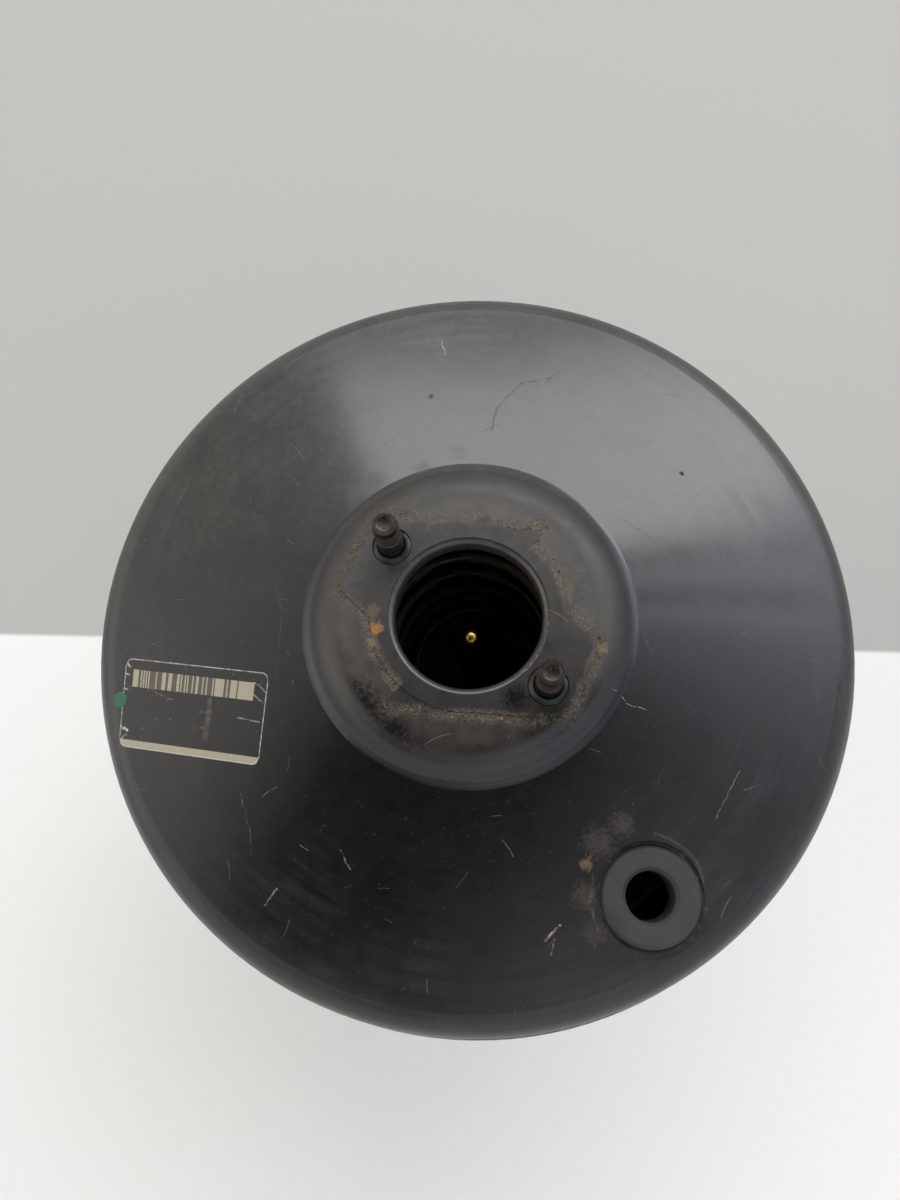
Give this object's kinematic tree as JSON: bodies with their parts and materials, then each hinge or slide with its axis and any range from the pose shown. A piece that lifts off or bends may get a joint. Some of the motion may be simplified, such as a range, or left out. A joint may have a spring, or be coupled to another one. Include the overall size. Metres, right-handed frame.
{
  "type": "brake booster",
  "caption": "Single-diaphragm vacuum brake booster with crimped steel shells, two master cylinder studs, four bulkhead studs, check valve grommet, sliding power piston and swinging input rod.",
  "frame": {"origin": "centre of the bulkhead stud pattern, on the booster's rear mounting face", "axes": "+Z along the booster's axis from the bulkhead to the master cylinder; X along the wider spacing of the bulkhead studs; Y completes a right-handed frame"},
  "size_m": [0.254, 0.254, 0.272],
  "materials": {
    "black_painted_steel": "black semi-gloss enamel over deep-drawn steel, scuffed and dusty",
    "plain_steel": "pressed steel, oiled",
    "stud_steel": "rolled steel stud, rusty thread, black painted base",
    "zinc_plated_steel": "clear zinc plated steel",
    "grommet_rubber": "moulded rubber, matt dark grey",
    "seal_rubber": "moulded black rubber",
    "guide_plastic": "white acetal",
    "phenolic_moulding": "brown-black phenolic moulding",
    "plate_steel": "pressed steel with a yellow zinc finish",
    "diaphragm_rubber": "fabric-free black rubber",
    "boot_rubber": "moulded black rubber bellows",
    "spring_steel": "drawn spring wire, phosphate grey",
    "yellow_zinc_steel": "yellow passivated zinc plate on steel",
    "filter_foam": "open-cell foam",
    "silencer_felt": "pressed felt"
  },
  "bodies": {
    "housing": {"front_shell": "black_painted_steel", "rear_shell": "black_painted_steel", "front_reinforcement": "plain_steel", "master_cylinder_studs": "stud_steel", "rear_reinforcement": "plain_steel", "bulkhead_studs": "zinc_plated_steel", "check_valve_grommet": "grommet_rubber", "valve_body_seal": "seal_rubber", "guide_ring": "guide_plastic", "seal_retainer": "plain_steel"},
    "power_piston": {"valve_body": "phenolic_moulding", "diaphragm_plate": "plate_steel", "diaphragm": "diaphragm_rubber", "dust_boot": "boot_rubber", "return_spring": "spring_steel", "reaction_disc": "seal_rubber", "output_rod": "yellow_zinc_steel", "output_rod_retainer": "yellow_zinc_steel", "cross_key": "plain_steel", "poppet_valve": "seal_rubber", "poppet_spring": "spring_steel", "poppet_retainer": "plain_steel", "rod_return_spring": "spring_steel", "air_filter": "filter_foam", "silencer_felt": "silencer_felt"},
    "valve_plunger": {"valve_plunger": "plain_steel"},
    "input_rod": {"input_rod": "yellow_zinc_steel", "rod_spring_seat": "plain_steel", "lock_nut": "zinc_plated_steel", "clevis": "zinc_plated_steel"}
  },
  "joints": [
    {"name": "piston_stroke", "type": "slide", "parent": "housing", "child": "power_piston", "axis": [0, 0, 1], "range_m": [0, 0.033], "deforming": ["return_spring", "diaphragm", "dust_boot"]},
    {"name": "plunger_travel", "type": "slide", "parent": "power_piston", "child": "valve_plunger", "axis": [0, 0, 1], "range_m": [0, 0.0018], "deforming": ["poppet_valve", "poppet_spring", "rod_return_spring"]},
    {"name": "rod_swing", "type": "hinge", "parent": "valve_plunger", "child": "input_rod", "pos_m": [0, 0, -0.014], "axis": [1, 0, 0], "range_deg": [-3, 3]}
  ]
}
